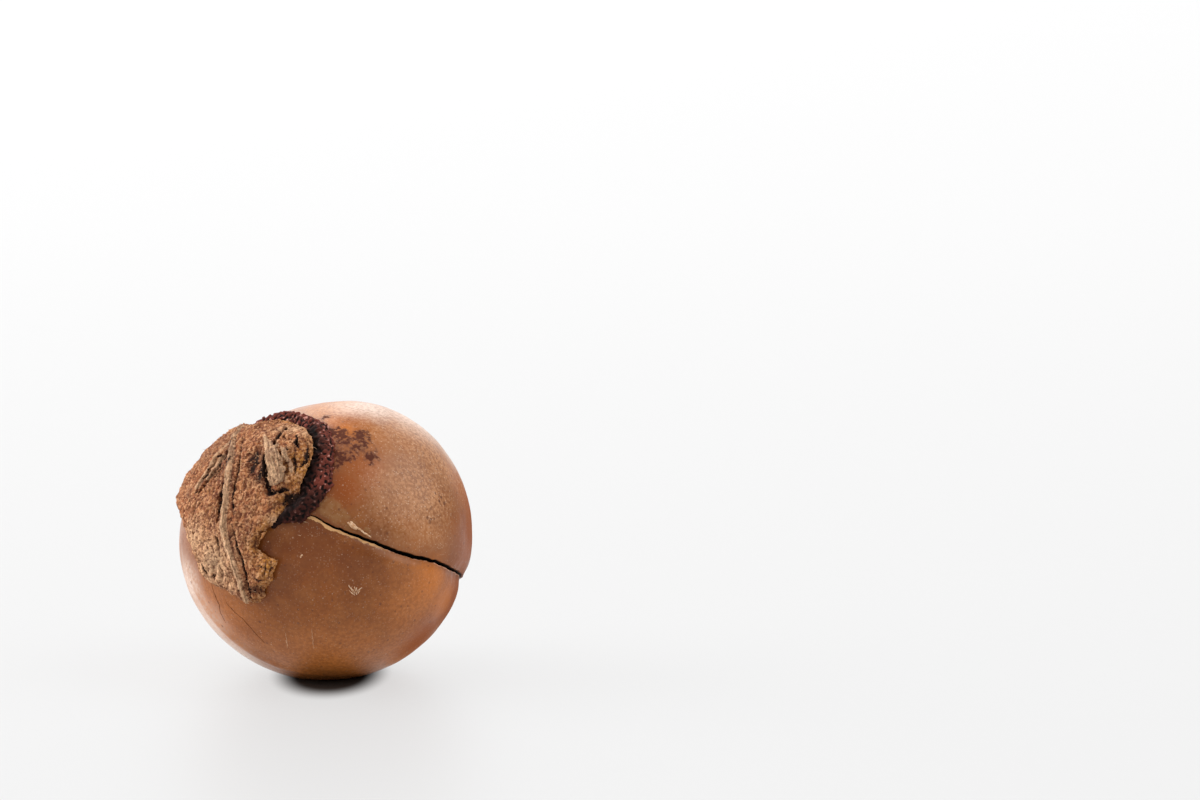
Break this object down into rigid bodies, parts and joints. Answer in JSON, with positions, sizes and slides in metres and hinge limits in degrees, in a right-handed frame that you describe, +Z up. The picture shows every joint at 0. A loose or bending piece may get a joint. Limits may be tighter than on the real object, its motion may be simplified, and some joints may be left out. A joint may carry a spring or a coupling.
{
  "type": "macadamia nut in shell",
  "caption": "Round brown macadamia nut in its hard shell, split along the suture, with a torn scrap of dry husk over the scar where it hung, lying on a small flat spot.",
  "frame": {"origin": "middle of the flat spot that the nut lies on", "axes": "+Z up; -Y towards the front, where the crack runs and the husk scrap faces left; +X to the right seen from the front"},
  "size_m": [0.0263, 0.0261, 0.0244],
  "materials": {
    "nutshell": "hard polished brown nutshell with fine pale freckles and a soft sheen",
    "dry_husk": "matt, fibrous, tan and brown dry husk with torn edges",
    "dark_lining": "matt, grainy, dark maroon inner lining of the husk"
  },
  "bodies": {
    "root": {"nut_shell": "nutshell", "husk_scrap": "dry_husk", "husk_lining": "dark_lining"}
  },
  "joints": []
}
